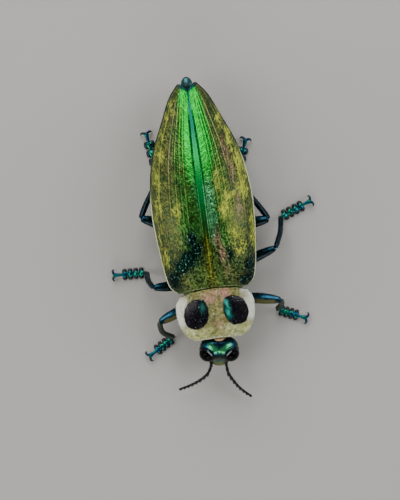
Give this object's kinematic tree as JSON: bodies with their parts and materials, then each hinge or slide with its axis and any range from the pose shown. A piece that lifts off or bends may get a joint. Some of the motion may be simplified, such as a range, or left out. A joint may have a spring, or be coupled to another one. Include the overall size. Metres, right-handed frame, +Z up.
{
  "type": "jewel beetle",
  "caption": "Large metallic wood-boring beetle with long ribbed wing cases, a broad two-spotted shield and spread legs, standing level.",
  "frame": {"origin": "middle of the beetle's whole box, on the plane that its feet stand on", "axes": "+Z up, -Y where the head looks, +X the beetle's left side"},
  "size_m": [0.0466, 0.071, 0.017],
  "materials": {
    "wing_case": "metallic green cuticle with yellow wax powder",
    "shield": "cream wax powder over dark violet cuticle",
    "head_shell": "polished metallic blue-green cuticle",
    "eye": "glossy black",
    "underside": "metallic green cuticle with thin wax powder",
    "limb": "metallic blue cuticle",
    "foot": "metallic teal cuticle over black soles",
    "horn": "glossy black",
    "neck_skin": "tan membrane"
  },
  "bodies": {
    "root": {"abdomen": "underside", "abdomen_tip": "underside", "antenna_left": "horn", "antenna_right": "horn", "elytron_left": "wing_case", "elytron_right": "wing_case", "eye_left": "eye", "eye_right": "eye", "front_left_claws": "horn", "front_left_coxa": "limb", "front_left_femur": "limb", "front_left_tarsus": "foot", "front_left_tibia": "limb", "front_right_claws": "horn", "front_right_coxa": "limb", "front_right_femur": "limb", "front_right_tarsus": "foot", "front_right_tibia": "limb", "head": "head_shell", "hind_left_claws": "horn", "hind_left_coxa": "limb", "hind_left_femur": "limb", "hind_left_tarsus": "foot", "hind_left_tibia": "limb", "hind_right_claws": "horn", "hind_right_coxa": "limb", "hind_right_femur": "limb", "hind_right_tarsus": "foot", "hind_right_tibia": "limb", "mandible_left": "horn", "mandible_right": "horn", "middle_left_claws": "horn", "middle_left_coxa": "limb", "middle_left_femur": "limb", "middle_left_tarsus": "foot", "middle_left_tibia": "limb", "middle_right_claws": "horn", "middle_right_coxa": "limb", "middle_right_femur": "limb", "middle_right_tarsus": "foot", "middle_right_tibia": "limb", "neck": "neck_skin", "prothorax": "shield", "scutellum": "underside", "thorax": "underside"}
  },
  "joints": []
}
